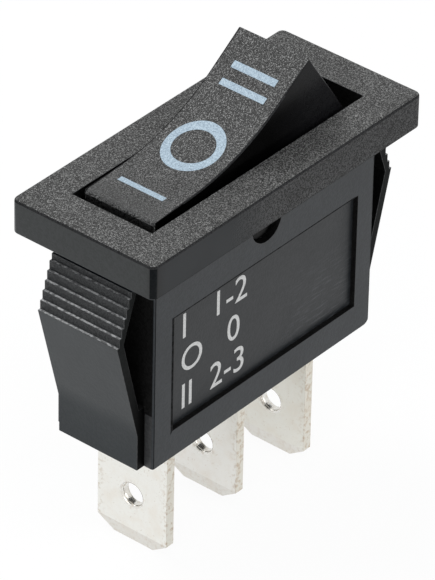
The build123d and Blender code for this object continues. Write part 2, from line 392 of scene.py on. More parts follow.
    def coat(self, *coats: tuple["Finish", Test]) -> None:
        """Gives picked faces other finishes, one coat after another.

        Args:
            *coats: Each finish, with which faces get it.
        """
        for finish, test in coats:
            material = finish.material()
            if self.obj.data.materials.find(material.name) < 0:
                self.obj.data.materials.append(material)
            with self.picked(Element.FACES, test):
                self.obj.active_material_index = self.obj.data.materials.find(material.name)
                bpy.ops.object.material_slot_assign()

    def fit(self, body: str, slot: Optional[str] = None, *nodes: str) -> None:
        """Ties the finished piece to the frame.

        Args:
            body: The CAD body that it rides on.
            slot: Not used.
            *nodes: The CAD nodes that it stands for.
        """
        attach(self.obj, body)
        if nodes:
            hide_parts(*nodes)
        LOG.info("%s: %d faces, rides on %s", self.obj.name, len(self.obj.data.polygons), body)


# ---------------------------------------------------------------- shader maths


class Signal:
    """A shader socket's value, on which Python arithmetic adds Math nodes."""

    def __init__(self, graph: "Graph", socket: bpy.types.NodeSocket) -> None:
        """Wraps an output socket of a graph."""
        self.graph = graph
        self.socket = socket

    def _math(self, operation: str, first: Any, second: Any = 0.0) -> "Signal":
        """Adds a Math node."""
        return self.graph.node("ShaderNodeMath", {"operation": operation}, {0: first, 1: second})

    def __add__(self, other: Any) -> "Signal":
        """Adds."""
        return self._math("ADD", self, other)

    __radd__ = __add__

    def __sub__(self, other: Any) -> "Signal":
        """Subtracts."""
        return self._math("SUBTRACT", self, other)

    def __rsub__(self, other: Any) -> "Signal":
        """Subtracts from a number."""
        return self._math("SUBTRACT", other, self)

    def __mul__(self, other: Any) -> "Signal":
        """Multiplies."""
        return self._math("MULTIPLY", self, other)

    __rmul__ = __mul__

    def __pow__(self, other: float) -> "Signal":
        """Raises to a power."""
        return self._math("POWER", self, other)

    def __abs__(self) -> "Signal":
        """Takes the size without the sign."""
        return self._math("ABSOLUTE", self)

    def step(self, low: float, high: float) -> "Signal":
        """Goes smoothly from 0 at low to 1 at high."""
        return self.graph.node(
            "ShaderNodeMapRange",
            {"interpolation_type": "SMOOTHSTEP"},
            {"Value": self, "From Min": low, "From Max": high},
        )


class Graph:
    """A material's node tree, built in code."""

    def __init__(self, name: str, for_world: bool = False) -> None:
        """Starts an empty tree.

        Args:
            name: The material's or the world's name.
            for_world: Whether it is a world's tree.
        """
        kind = bpy.data.worlds if for_world else bpy.data.materials
        self.ending = "ShaderNodeOutputWorld" if for_world else "ShaderNodeOutputMaterial"
        self.material = kind.new(name)
        self.material.use_nodes = True
        self.tree = self.material.node_tree
        self.tree.nodes.clear()

    def node(
        self,
        kind: str,
        settings: Optional[dict[str, Any]] = None,
        sockets: Optional[dict[Any, Any]] = None,
        output: Any = 0,
    ) -> Signal:
        """Adds a node.

        Args:
            kind: The node's type.
            settings: Its properties, which are set first.
            sockets: The value or Signal of each of its inputs, by name or number.
            output: Which of its outputs is wanted, by name or number.

        Returns:
            That output.
        """
        made = self.tree.nodes.new(kind)
        for key, value in (settings or {}).items():
            setattr(made, key, value)
        for key, value in (sockets or {}).items():
            if isinstance(value, Signal):
                self.tree.links.new(value.socket, made.inputs[key])
            elif isinstance(value, tuple) and made.inputs[key].type == "RGBA":
                made.inputs[key].default_value = (*value, 1.0)
            else:
                made.inputs[key].default_value = value
        return Signal(self, made.outputs[output])

    def place(self) -> Signal:
        """The point on the surface, in metres, in the piece's own frame."""
        return self.node("ShaderNodeTexCoord", output="Object")

    def axis(self, name: str) -> Signal:
        """One coordinate of that point, in millimetres."""
        return self.node("ShaderNodeSeparateXYZ", sockets={0: self.place()}, output=name) * (1 / MM)

    def noise(
        self, size: float, detail: float, stretch: Point = (1.0, 1.0, 1.0), tilt: float = 0.0
    ) -> Signal:
        """A cloudy pattern.

        Args:
            size: The width of its blotches, in millimetres.
            detail: How many finer layers it has.
            stretch: How much the pattern is drawn out along each axis.
            tilt: How far the drawn-out pattern is tipped up about Y, in radians.

        Returns:
            Its strength, about 0.5 on average.
        """
        shrunk = tuple(1 / s for s in stretch)
        sockets = {"Vector": self.place(), "Scale": shrunk, "Rotation": (0.0, tilt, 0.0)}
        scaled = self.node("ShaderNodeMapping", sockets=sockets)
        sockets = {"Vector": scaled, "Scale": 1 / (size * MM), "Detail": detail}
        return self.node("ShaderNodeTexNoise", sockets=sockets)

    def mix(self, amount: Any, first: Any, second: Any) -> Signal:
        """Blends two colours by the second one's share."""
        sockets = {0: amount, 6: first, 7: second}
        return self.node("ShaderNodeMix", {"data_type": "RGBA"}, sockets, output=2)

    def bump(self, height: Signal, depth: float, under: Optional[Signal] = None) -> Signal:
        """Turns a height into a normal.

        Args:
            height: The height, from 0 to 1.
            depth: What 1 stands for, in millimetres.
            under: A bump that this one lies on.

        Returns:
            The normal.
        """
        sockets = {"Height": height, "Distance": depth * MM, "Strength": 1.0}
        if under is not None:
            sockets["Normal"] = under
        return self.node("ShaderNodeBump", sockets=sockets)

    def finish(self, **sockets: Any) -> bpy.types.Material:
        """Adds the surface shader and the output.

        Args:
            **sockets: The shader's inputs, with underscores for the spaces in their names.

        Returns:
            The finished material.
        """
        named = {key.replace("_", " "): value for key, value in sockets.items()}
        self.close(self.node("ShaderNodeBsdfPrincipled", sockets=named))
        return self.material

    def close(self, shader: Signal) -> None:
        """Links a shader to the tree's output."""
        out = self.tree.nodes.new(self.ending)
        self.tree.links.new(shader.socket, out.inputs["Surface"])

    def seen(self) -> Signal:
        """Tells the rays that come from the camera, a gloss or a clear body from the rest.

        Returns:
            1 for those rays, and 0 for the rest.
        """
        kinds = ("Is Camera Ray", "Is Glossy Ray", "Is Transmission Ray")
        camera, gloss, clear = (self.node("ShaderNodeLightPath", output=kind) for kind in kinds)
        clamped = {"operation": "ADD", "use_clamp": True}
        return self.node("ShaderNodeMath", clamped, {0: camera + gloss, 1: clear})


# ---------------------------------------------------------------- finishes


def scaled(colour: Colour, by: float) -> Colour:
    """A lighter or darker form of a colour."""
    return tuple(part * by for part in colour)


def grey(level: float) -> Colour:
    """An even grey."""
    return (level, level, level)


@dataclass(frozen=True)
class Finish:
    """What every finish shares: its material is built once, and then used again."""

    name: str

    def material(self) -> bpy.types.Material:
        """The finish's material."""
        return bpy.data.materials.get(self.name) or self.build()

    def build(self) -> bpy.types.Material:
        """Builds the material."""
        raise NotImplementedError


@dataclass(frozen=True)
class Nylon(Finish):
    """Black moulded nylon, with the grain that its mould wall left.

    Fade names an axis, the place where the grain has died out and the place where it is
    whole; with the default plain colour, almost black, that fade is painted shade. Corner
    names an axis, the place where the face turns dark with painted shade and where that ends.
    Glint lifts the highest grain into painted highlight specks.
    """

    pit: Colour
    crest: Colour
    roughness: float
    grain_size: float = 0.3
    grain_depth: float = 0.003
    spread: float = 0.12
    gloss: float = 0.5
    flow_depth: float = 0.006
    streaks: float = 0.0
    fade: Ramp = None
    plain: Colour = grey(0.0005)
    # axis, dark end and light end of a painted shade toward a corner
    corner: Ramp = None
    # how far the highest grain is lifted into painted highlight specks
    glint: float = 1.0
    glint_band: Pair = (0.56, 0.62)
    coarse: float = 0.55
    cloud_size: float = 4.0
    cloud_level: float = 0.42
    cloud_share: float = 0.7
    cloud_shade: float = 0.55
    # the near-black colour of the painted shade at a corner
    corner_shade_colour: Colour = grey(0.001)
    streak: Colour = (0.14, 0.15, 0.16)
    streak_width: float = 0.16
    streak_tip: float = math.radians(-32)
    streak_x: Pair = (0.0, 7.0)
    streak_z: Pair = (-13.0, -6.0)
    flow_size: float = 2.2

    def build(self) -> bpy.types.Material:
        """Builds the material.

        Returns:
            The material.
        """
        graph = Graph(self.name)
        grain = graph.noise(self.grain_size, 2.0)
        fine = graph.noise(self.grain_size * 0.5, 2.0)
        mixed = grain * self.coarse + fine * (1 - self.coarse)
        speck = mixed.step(0.5 - self.spread, 0.5 + self.spread)
        shade = graph.mix(speck, self.pit, self.crest)
        # painted highlight: the highest grain is lifted toward a brighter crest
        shade = graph.mix(mixed.step(*self.glint_band), shade, scaled(self.crest, self.glint))
        height = speck
        # with the default plain colour this fade is painted shade, toward almost black
        if self.fade is not None:
            axis, gone, whole = self.fade
            cover = graph.axis(axis).step(gone, whole)
            shade = graph.mix(cover, self.plain, shade)
            height = speck * cover
        cloud = graph.noise(self.cloud_size, 3.0)
        dimmed = (cloud - self.cloud_level) * self.cloud_share
        shade = graph.mix(dimmed, shade, scaled(self.pit, self.cloud_shade))
        # painted shade: the face darkens toward a corner
        if self.corner is not None:
            axis, dark, light = self.corner
            shade = graph.mix(graph.axis(axis).step(dark, light), self.corner_shade_colour, shade)
        if self.streaks:
            drag = graph.noise(self.streak_width, 2.0, (9.0, 1.0, 1.0), self.streak_tip)
            low = 1 - graph.axis("Z").step(*self.streak_z)
            corner = graph.axis("X").step(*self.streak_x) * low
            shade = graph.mix(drag.step(0.5, 0.7) * corner * self.streaks, shade, self.streak)
        flow = graph.noise(self.flow_size, 2.0, (1.0, 1.0, 3.0))
        return graph.finish(
            Base_Color=shade,
            Roughness=cloud * SWING + (self.roughness - SWING / 2),
            Specular_IOR_Level=self.gloss,
            Normal=graph.bump(height, self.grain_depth, graph.bump(flow, self.flow_depth)),
        )


@dataclass(frozen=True)
class TinPlate(Finish):
    """Matt tin over sheared brass strip, with brownish stains round its hole and edges."""

    hole_z: float
    half_width: float
    colour: Colour = (0.80, 0.79, 0.75)
    stain: Colour = (0.56, 0.47, 0.37)
    edge_stain: float = 0.48
    all_over: float = 0.05
    roughness: float = 0.32
    grain_depth: float = 0.02
    roll_depth: float = 0.035
    hole_radius: float = 0.9
    edge_band: Pair = (0.8, 0.05)
    burr_width: float = 0.5
    burr_stain: float = 0.45
    warmth: Colour = (0.95, 0.91, 0.87)
    warm_share: float = 0.6
    pit_share: float = 0.35

    def build(self) -> bpy.types.Material:
        """Builds the material.

        Returns:
            The material.
        """
        graph = Graph(self.name)
        cloud = graph.noise(1.5, 4.0)
        spots = graph.noise(0.3, 4.0)
        drag = graph.noise(0.3, 2.0, (1.0, 1.0, 6.0))
        y, z = graph.axis("Y"), graph.axis("Z") - self.hole_z
        inner, outer = (self.half_width - band for band in self.edge_band)
        edge = abs(y).step(inner, outer)
        away = (y * y + z * z) ** 0.5
        burr = 1 - away.step(self.hole_radius, self.hole_radius + self.burr_width)
        reach = edge * self.edge_stain + burr * self.burr_stain + self.all_over
        stains = spots.step(0.47, 0.68) * reach
        shade = graph.mix(stains, self.colour, self.stain)
        warm = tuple(part * by for part, by in zip(self.colour, self.warmth))
        shade = graph.mix(cloud.step(0.45, 0.7) * self.warm_share, shade, warm)
        pits = graph.noise(0.2, 1.0).step(0.68, 0.74)
        shade = graph.mix(pits * self.pit_share, shade, self.stain)
        normal = graph.bump(cloud * 0.6 + drag * 0.4, self.roll_depth)
        return graph.finish(
            Base_Color=shade,
            Roughness=cloud * SWING + stains * 0.3 + (self.roughness - SWING / 2),
            Metallic=0.8,
            Normal=graph.bump(spots * 0.6 + (1 - pits) * 0.4, self.grain_depth, normal),
        )


@dataclass(frozen=True)
class Ink(Finish):
    """Pad-printed ink that takes up the grain under it."""

    colour: Colour
    thin: Colour
    thick: Colour
    grain_size: float = 0.13
    wear: float = 0.9

    def build(self) -> bpy.types.Material:
        """Builds the material.

        Returns:
            The material.
        """
        graph = Graph(self.name)
        grain = graph.noise(self.grain_size, 2.0)
        fine = graph.noise(self.grain_size * 0.5, 2.0)
        speck = grain * 0.6 + fine * 0.4
        shade = graph.mix((1 - speck.step(0.34, 0.5)) * self.wear, self.colour, self.thin)
        shade = graph.mix(speck.step(0.5, 0.66) * self.wear, shade, self.thick)
        normal = graph.bump(speck, 0.015)
        return graph.finish(Base_Color=shade, Roughness=fine * 0.2 + 0.45, Normal=normal)


@dataclass(frozen=True)
class Metal(Finish):
    """A plain metal of the mechanism inside, with drawing or rolling lines."""

    colour: Colour
    roughness: float
    stretch: Point = (6.0, 1.0, 1.0)

    def build(self) -> bpy.types.Material:
        """Builds the material.

        Returns:
            The material.
        """
        graph = Graph(self.name)
        lines = graph.noise(0.12, 2.0, self.stretch)
        cloud = graph.noise(1.1, 3.0)
        shade = graph.mix(cloud.step(0.45, 0.7) * 0.3, self.colour, scaled(self.colour, 0.7))
        rough = lines * 0.15 + self.roughness
        normal = graph.bump(lines, 0.006)
        return graph.finish(Base_Color=shade, Roughness=rough, Metallic=1.0, Normal=normal)


@dataclass(frozen=True)
class Acetal(Finish):
    """Natural acetal, slightly waxy."""

    colour: Colour

    def build(self) -> bpy.types.Material:
        """Builds the material.

        Returns:
            The material.
        """
        graph = Graph(self.name)
        cloud = graph.noise(0.9, 3.0)
        shade = graph.mix(cloud * 0.3, self.colour, scaled(self.colour, 0.85))
        normal = graph.bump(graph.noise(0.2, 2.0), 0.004)
        return graph.finish(Base_Color=shade, Roughness=cloud * 0.15 + 0.3, Normal=normal)


@dataclass(frozen=True)
class Paper(Finish):
    """Matt white studio paper: white to the eye and in gloss, and it keeps a soft shadow."""

    colour: Colour = grey(0.88)
    evenness: float = 0.9
    white: float = 1.02

    def build(self) -> bpy.types.Material:
        """Builds the material.

        Returns:
            The material.
        """
        graph = Graph(self.name)
        tooth = graph.bump(graph.noise(0.6, 2.0), 0.01)
        plain = graph.node("ShaderNodeBsdfDiffuse", sockets={"Color": self.colour, "Normal": tooth})
        glow = graph.node("ShaderNodeEmission", sockets={"Strength": self.white})
        seen = graph.seen() * self.evenness
        graph.close(graph.node("ShaderNodeMixShader", sockets={0: seen, 1: plain, 2: glow}))
        return graph.material


# The bezel's grained top; glint adds painted highlight specks on the highest grain.
GRAINED = Nylon(
    "nylon_grained", grey(0.003), (0.166, 0.167, 0.163), 0.55, 0.105, 0.08, 0.06, glint=1.7
)
# The rocker's grained top, with the same painted highlight specks.
GRAINED_CAP = Nylon(
    "nylon_grained_cap",
    grey(0.004),
    (0.164, 0.165, 0.162),
    0.55,
    0.105,
    0.08,
    0.07,
    fade=("X", -14.0, -6.5),
    plain=(0.044, 0.045, 0.045),
    glint=1.7,
)
# Dark painted shade on the rounded rims of the bezel's top and the rocker's sides.
RIM_SHADE = Nylon("nylon_rim_shade", (0.002, 0.002, 0.003), (0.018, 0.019, 0.020), 0.6, 0.2, 0.02, gloss=0.2)
# Near-black painted shade on rounded corners that turn away from the light.
CORNER = Nylon(
    "nylon_corner_shade", (0.002, 0.003, 0.004), (0.005, 0.006, 0.007), 0.5, grain_depth=0.004, gloss=0.07
)
# Painted highlight: bright specks on the rounded lip under I.
LIP = Nylon("nylon_lip_highlight", grey(0.001), (0.200, 0.202, 0.202), 0.35, 0.16, 0.09)
# Painted light: a lighter band at the top of the rocker's end face under I.
UNDER_LIP = Nylon("nylon_lit_band_under_lip", grey(0.001), grey(0.030), 0.5, 0.2, 0.08, gloss=0.12)
GRAINED_SIDE = Nylon(
    "nylon_grained_side",
    grey(0.001),
    (0.064, 0.065, 0.066),
    0.5,
    0.14,
    0.06,
    0.07,
    gloss=0.27,
    fade=("X", -7.0, -1.0),
    plain=(0.008, 0.010, 0.012),
    # painted shade: the side darkens toward its corner at the I end
    corner=("X", -14.6, -13.0),
)
BEZEL_END = Nylon(
    "nylon_bezel_end",
    (0.011, 0.014, 0.014),
    (0.018, 0.021, 0.022),
    0.36,
    gloss=0.37,
    # painted shade: the end darkens toward its corner on the panel side
    corner=("Y", -6.6, -5.4),
)
# Painted shade on the snap arms' sides, in the dark gap beside the body.
ARM_SIDE = Nylon(
    "nylon_arm_side_with_painted_shade",
    (0.002, 0.003, 0.003),
    (0.006, 0.007, 0.007),
    0.45,
    gloss=0.05,
    # painted shade: almost black toward the foot
    fade=("Z", -12.5, -6.5),
)
# Painted light: the end wall beside each arm's foot, lighter than the same smooth nylon.
FOOT_STRIP = Nylon(
    "nylon_foot_strip_painted_light", (0.024, 0.025, 0.026), (0.040, 0.041, 0.042), 0.45, gloss=0.3
)
# Painted shade lines: round the panel recess, under the bezel foot, along the rocker's far rim.
SHADE_LINE = Nylon("nylon_shade_line", grey(0.0005), (0.012, 0.012, 0.013), 0.6, 0.7, 0.01, 0.06, gloss=0.05)
SMOOTH = Nylon(
    "nylon_smooth", (0.005, 0.008, 0.011), (0.010, 0.014, 0.018), 0.36, gloss=0.36, flow_depth=0.012
)
ARM = Nylon(
    "nylon_arm", (0.004, 0.009, 0.012), (0.008, 0.013, 0.016), 0.34, gloss=0.34, flow_depth=0.014
)
PANEL = Nylon(
    "nylon_panel", (0.006, 0.008, 0.010), (0.011, 0.013, 0.015), 0.42, gloss=0.36, streaks=0.22
)
# Lighter broken edges: partly wear, partly a painted highlight along each arris.
EDGE = Nylon("nylon_edge_wear_and_highlight", (0.008, 0.010, 0.011), (0.050, 0.052, 0.054), 0.45, 0.25, 0.01)
# Near-white painted highlight on the catch ledges, where light catches each step.
LEDGE_HIGHLIGHT = Nylon("nylon_ledge_highlight", (0.14, 0.143, 0.145), (0.56, 0.565, 0.57), 0.45, 0.35, 0.04)
RIDGE = Nylon(
    "nylon_ridge", (0.001, 0.002, 0.003), (0.030, 0.032, 0.033), 0.4, 0.16, 0.02, 0.07, gloss=0.34
)
# Glossy black rocker walls, with painted shade darkening them to black toward the I end.
GLOSS = Nylon(
    "nylon_gloss_with_painted_shade",
    (0.008, 0.008, 0.009),
    (0.012, 0.012, 0.013),
    0.24,
    grain_depth=0.002,
    gloss=0.07,
    # painted shade: almost black from the middle toward the I end
    fade=("X", 1.0, 8.0),
)
SHADED = Nylon("nylon_shaded", grey(0.002), grey(0.006), 0.6, 0.25, 0.01, gloss=0.1)
ACETAL = Acetal("acetal_natural", (0.75, 0.74, 0.70))
BRASS = Metal("brass_strip", (0.80, 0.62, 0.33), 0.3)
SILVER = Metal("silver_contact", (0.86, 0.86, 0.85), 0.22, (1.0, 1.0, 1.0))
SPRING_STEEL = Metal("spring_wire", (0.55, 0.55, 0.56), 0.3, (1.0, 1.0, 4.0))
MARK_INK = Ink("ink_pale_blue", (0.38, 0.49, 0.58), (0.22, 0.29, 0.36), (0.56, 0.68, 0.76))
PANEL_INK = Ink("ink_off_white", (0.60, 0.60, 0.59), (0.42, 0.42, 0.41), (0.70, 0.70, 0.69))
PAPER = Paper("paper_white")


# ---------------------------------------------------------------- housing


@dataclass
class Housing:
    """The one-piece moulded housing: bezel, body, snap arms and recessed side panel."""

    body_length: float = 23.9
    body_width: float = 8.8
    body_depth: float = 16.5
    upright_radius: float = 0.15
    foot_radius: float = 0.6
    floor_thickness: float = 1.2
    end_wall: float = 0.55
    side_wall: float = 0.8
    chamber_end_wall: float = 1.2
    well_depth: float = 8.0
    bezel_end_lip: float = 2.55
    bezel_side_lip: float = 2.0
    bezel_height: float = 2.8
    bezel_corner_radius: float = 0.5
    bezel_edge_radius: float = 0.25
    bezel_foot_edge: float = 0.12
    arm_width: float = 7.2
    arm_thickness: float = 0.7
    arm_foot_proud: float = 0.75
    arm_foot_height: float = 2.9
    arm_slot_height: float = 5.1
    knee_depth: float = 5.0
    knee_proud: float = 3.0
    catch_steps: int = 6
    catch_pitch: float = 0.7
    catch_ledge: float = 0.24
    bay_depth: float = 0.3
    bay_clearance: float = 0.3
    panel_low: Pair = (-9.85, -14.2)
    panel_high: Pair = (10.15, -4.7)
    panel_depth: float = 0.38
    panel_margin: float = 0.15
    pivot_depth: float = 1.75
    pivot_hole_radius: float = 1.6
    slot_places: tuple[float, ...] = (-8.55, -0.9, 6.75)
    slot_size: Pair = (0.9, 6.5)
    gap_foot: float = -12.0
    corner_band: float = 0.9
    # width of the painted shade line round the panel's recess
    shade_line_width: float = 0.24
    edge_break: float = 0.05
    overcut: float = 1.0

    @property
    def end_x(self) -> float:
        """How far the body's end faces stand from the middle."""
        return self.body_length / 2

    @property
    def side_y(self) -> float:
        """How far the body's side faces stand from the middle."""
        return self.body_width / 2

    @property
    def slot_z(self) -> float:
        """The floor of the slots behind the arms."""
        return -self.body_depth + self.arm_slot_height

    def build(self) -> None:
        """Builds the housing."""
        shell = self._bezel()
        arm = self._arm()
        shell.merge(Merge.UNION, self._body(), arm, arm.copy("arm_under_i", HALF_TURN))
        shell.merge(Merge.CUT, *self._hollows(), *self._openings())
        shell.clean()
        self._dress(shell)
        shell.soften(self.edge_break)
        self._dress_rims(shell)
        shell.fit("housing", "housing_plastic", "housing")

    def _bezel(self) -> Piece:
        """The bezel's plate, with its corners and both rims rounded.

        Returns:
            The plate.
        """
        x, y = self.end_x + self.bezel_end_lip, self.side_y + self.bezel_side_lip
        top = self.bezel_height
        plate = Piece.block("housing_shell", (-x, -y, 0), (x, y, top))
        plate.bevel(lambda at, way: abs(way.z) > FACING, self.bezel_corner_radius, 6)
        plate.bevel(lambda at, way: at.z > top - NEAR, self.bezel_edge_radius, 4)
        plate.bevel(lambda at, way: at.z < NEAR, self.bezel_foot_edge, 2)
        return plate

    def _body(self) -> Piece:
        """The body's block, with rounded uprights and the rounded foot under II.

        Returns:
            The block.
        """
        x, y = self.end_x, self.side_y
        block = Piece.block("body", (-x, -y, -self.body_depth), (x, y, self.bezel_height / 2))
        block.bevel(
            lambda at, way: abs(way.y) > FACING and at.x > 0 and at.z < BELOW, self.foot_radius, 5
        )
        block.bevel(lambda at, way: abs(way.z) > FACING, self.upright_radius, 3)
        return block

    def _arm(self) -> Piece:
        """The snap arm under II, drawn up from its foot: shank, knee and catch steps.

        Returns:
            The arm.
        """
        foot = self.end_x + self.arm_foot_proud
        knee = self.end_x + self.knee_proud
        root = self.end_x - self.end_wall / 2
        half = self.arm_width / 2
        foot_z = -self.body_depth + self.arm_foot_height
        rise, climb = self.slot_z - foot_z, -self.knee_depth - self.slot_z
        lean = (knee - foot) / (-self.knee_depth - foot_z)
        slot_x = foot + lean * rise - self.arm_thickness
        arm = Piece.block("arm_under_ii", (root, -half, -self.body_depth), (foot, half, foot_z))
        arm.extrude(lambda at, way: way.z > FACING, (0, 0, rise))
        arm.move(
            lambda at, way: abs(at.z - self.slot_z) < TIGHT and at.x > self.end_x,
            (lean * rise, 0, 0),
        )
        arm.slice((slot_x, 0, 0), (1, 0, 0))
        arm.extrude(lambda at, way: way.z > FACING and at.x > slot_x, (lean * climb, 0, climb))
        for step in range(self.catch_steps):
            self._catch_step(arm, step)
        return arm

    def _catch_step(self, arm: Piece, step: int) -> None:
        """Draws one catch step up from the arm's end: a ledge, then a riser.

        Args:
            arm: The arm.
            step: The step's number, from 0 at the knee.
        """
        sliver = 0.01
        level = -self.knee_depth + step * self.catch_pitch
        top = level + self.catch_pitch
        outer = self.end_x + self.knee_proud - step * self.catch_ledge
        inner = outer - self.arm_thickness
        inward, upward = (-self.catch_ledge, 0, 0), (0, 0, self.catch_pitch - sliver)
        arm.extrude(lambda at, way: way.z > FACING and at.z > level - sliver, (0, 0, sliver))
        arm.move(lambda at, way: at.z > level + sliver / 2 and at.x > outer - sliver, inward)
        arm.extrude(lambda at, way: way.z > FACING and at.z > level + 0.8 * sliver, upward)
        arm.move(lambda at, way: at.z > top - sliver and at.x < inner + sliver, inward)

    def _hollows(self) -> list[Piece]:
        """What is hollowed out: well, chamber, recessed panel and pivot holes.

        Returns:
            The solids to cut away.
        """
        well_x, well_y = self.end_x - self.end_wall, self.side_y - self.side_wall
        chamber_x = self.end_x - self.chamber_end_wall
        floor_z = -self.body_depth + self.floor_thickness
        (left, low), (right, high) = self.panel_low, self.panel_high
        roof_z, clear_z = -self.well_depth + self.overcut, self.bezel_height + self.overcut
        front, back = -self.side_y - self.overcut, -self.side_y + self.panel_depth
        reach, pivot_z, radius = self.body_width, -self.pivot_depth, self.pivot_hole_radius
        return [
            Piece.block("well", (-well_x, -well_y, -self.well_depth), (well_x, well_y, clear_z)),
            Piece.block("chamber", (-chamber_x, -well_y, floor_z), (chamber_x, well_y, roof_z)),
            Piece.block("panel", (left, front, low), (right, back, high)),
            Piece.rod("pivot_hole", (0, -reach, pivot_z), (0, reach, pivot_z), radius),
        ]

    def _openings(self) -> list[Piece]:
        """What is opened at the ends: the terminals' slots and the bays over the arms.

        Returns:
            The solids to cut away.
        """
        half_x, half_y = (side / 2 for side in self.slot_size)
        over, foot_z = self.overcut, -self.body_depth
        top = foot_z + self.floor_thickness + over / 2
        slot = Piece.block("slot", (-half_x, -half_y, foot_z - over), (half_x, half_y, top))
        made = [
            slot.copy(f"slot_{number}", Matrix.Translation((x, 0, 0)))
            for number, x in enumerate(self.slot_places, start=1)
        ]
        slot.remove()
        ribbed = self.knee_proud - (self.catch_steps - 1) * self.catch_ledge
        bay_x = self.end_x + ribbed + self.bay_clearance
        bay_y = self.arm_width / 2 + self.bay_clearance
        bay = Piece.block("bay", (self.end_x, -bay_y, -over), (bay_x, bay_y, self.bay_depth))
        return made + [bay, bay.copy("bay_under_i", HALF_TURN)]

    def _dress(self, shell: Piece) -> None:
        """Gives each moulded flat its finish: grained, smooth, ribbed, painted shade or painted
        light.

        Args:
            shell: The housing, before its edges are broken.
        """
        wall, knee = self.end_x, -self.knee_depth
        band = wall + self.bezel_end_lip - self.corner_band
        rim = self.bezel_height - self.bezel_edge_radius
        foot_edge = self.side_y + self.bezel_side_lip - self.bezel_foot_edge
        panel_y = self.panel_depth - self.side_y
        shell.slice((0, 0, self.gap_foot), (0, 0, 1))
        shell.slice((self.panel_low[0] - self.shade_line_width, 0, 0), (1, 0, 0))
        shell.slice((0, 0, self.panel_high[1] + self.shade_line_width / 2), (0, 0, 1))
        # broken edges get the lighter edge finish: wear with a painted highlight
        shell.paint(SMOOTH, EDGE)
        shell.coat(
            (SHADED, self._is_shaded),
            (GRAINED, lambda at, way: at.z > rim and way.z > 0.6),
            # painted shade on the bezel's rounded upper rim
            (RIM_SHADE, lambda at, way: at.z > rim - 0.02 and 0.02 < way.z < 0.6),
            (
                GRAINED_SIDE,
                lambda at, way: 0 < at.z < rim
                and abs(way.y) > FACING
                and abs(at.y) > self.side_y + 1,
            ),
            # painted shade on the bezel's rounded corner between the I end and the panel side
            (
                CORNER,
                lambda at, way: 0 < at.z < rim
                and abs(way.z) < 0.1
                and 0.1 < abs(way.y) < FLAT
                and at.x < -band
                and at.y < 0,
            ),
            (BEZEL_END, lambda at, way: 0 < at.z < rim and abs(way.x) > FLAT and abs(at.x) > band),
            # painted shade on the side-facing half of each rounded upright of the body
            (
                CORNER,
                lambda at, way: at.z < BELOW
                and 0.05 < abs(way.x) < 0.7
                and abs(way.y) > 0.05
                and abs(way.z) < 0.01
                and wall - self.upright_radius < abs(at.x) < wall,
            ),
            (ARM, lambda at, way: abs(at.x) > wall + 0.1 and at.z < -0.5 and way.x * at.x > 0),
            # painted shade on the arms' sides
            (
                ARM_SIDE,
                lambda at, way: abs(at.x) > wall + 0.1
                and at.z < -0.5
                and abs(way.y) > FACING,
            ),
            (
                RIDGE,
                lambda at, way: abs(at.x) > wall + 1
                and knee < at.z < BELOW
                and 0.1 < way.x * at.x
                and way.z < FACING,
            ),
            # painted highlight on the upward catch ledges
            (
                LEDGE_HIGHLIGHT,
                lambda at, way: way.z > FACING
                and knee - 0.1 < at.z < -1.2
                and abs(at.x) > wall + 1,
            ),
            # painted light on the end wall's strips beside the arms' feet
            (
                FOOT_STRIP,
                lambda at, way: at.z < self.gap_foot
                and way.x * at.x > FACING * abs(at.x)
                and abs(abs(at.x) - wall) < NEAR
                and abs(at.y) > self.arm_width / 2,
            ),
            # painted shade lines round the panel's recess and under the bezel's foot edge
            (SHADE_LINE, self._on_shade_line),
            (
                SHADE_LINE,
                lambda at, way: at.z < self.bezel_foot_edge
                and abs(at.y) > foot_edge
                and leans_under(way),
            ),
            (
                PANEL,
                lambda at, way: way.y < -FACING
                and abs(at.y - panel_y) < NEAR
                and self.panel_low[1] < at.z < self.panel_high[1],
            ),
        )

    def _is_shaded(self, at: Vector, way: Vector) -> bool:
        """Picks the faces that lie in the dark: gaps, window walls and the panel's sides.

        Args:
            at: The face's centre.
            way: Its normal.

        Returns:
            Whether it is picked.
        """
        wall, along = self.end_x, abs(at.x)
        inside = along < wall - 0.1 and abs(at.y) < self.side_y - 0.1
        behind_arm = along > wall - 0.6 and at.z < 0.4 and way.x * at.x < -1e-6
        gap_wall = abs(along - wall) < NEAR and self.gap_foot < at.z < 0.35
        slot_floor = along > wall - NEAR and abs(at.z - self.slot_z) < NEAR
        recess = NEAR < at.y + self.side_y < self.panel_depth - NEAR and abs(way.y) < FACING
        panel_side = recess and self._in_panel(at, self.panel_margin)
        return inside or behind_arm or gap_wall or slot_floor or panel_side

    def _in_panel(self, at: Vector, margin: float) -> bool:
        """Tells whether a place is within the panel's outline, widened by a margin.

        Args:
            at: The place.
            margin: How far the outline is widened on each side.

        Returns:
            Whether it is.
        """
        low, high = self.panel_low, self.panel_high
        level = low[0] - margin < at.x < high[0] + margin
        return level and low[1] - margin < at.z < high[1] + margin

    def _on_shade_line(self, at: Vector, way: Vector) -> bool:
        """Picks the painted shade line along the panel's upper edge and its edge nearest I.

        Args:
            at: The face's centre.
            way: Its normal.

        Returns:
            Whether it is picked.
        """
        (left, low), (right, high) = self.panel_low, self.panel_high
        upright = left - self.shade_line_width < at.x < left and low < at.z < high
        level = left - self.shade_line_width < at.x < right and high < at.z < high + self.shade_line_width / 2
        return way.y < -0.99 and at.y < 0.1 - self.side_y and (upright or level)

    def _dress_rims(self, shell: Piece) -> None:
        """Paints shade on the broken edges round the panel, at the arms' feet and under the bezel.

        Args:
            shell: The housing, with its edges broken.
        """
        reach = 2 * self.edge_break
        lip = self.side_y + self.bezel_side_lip

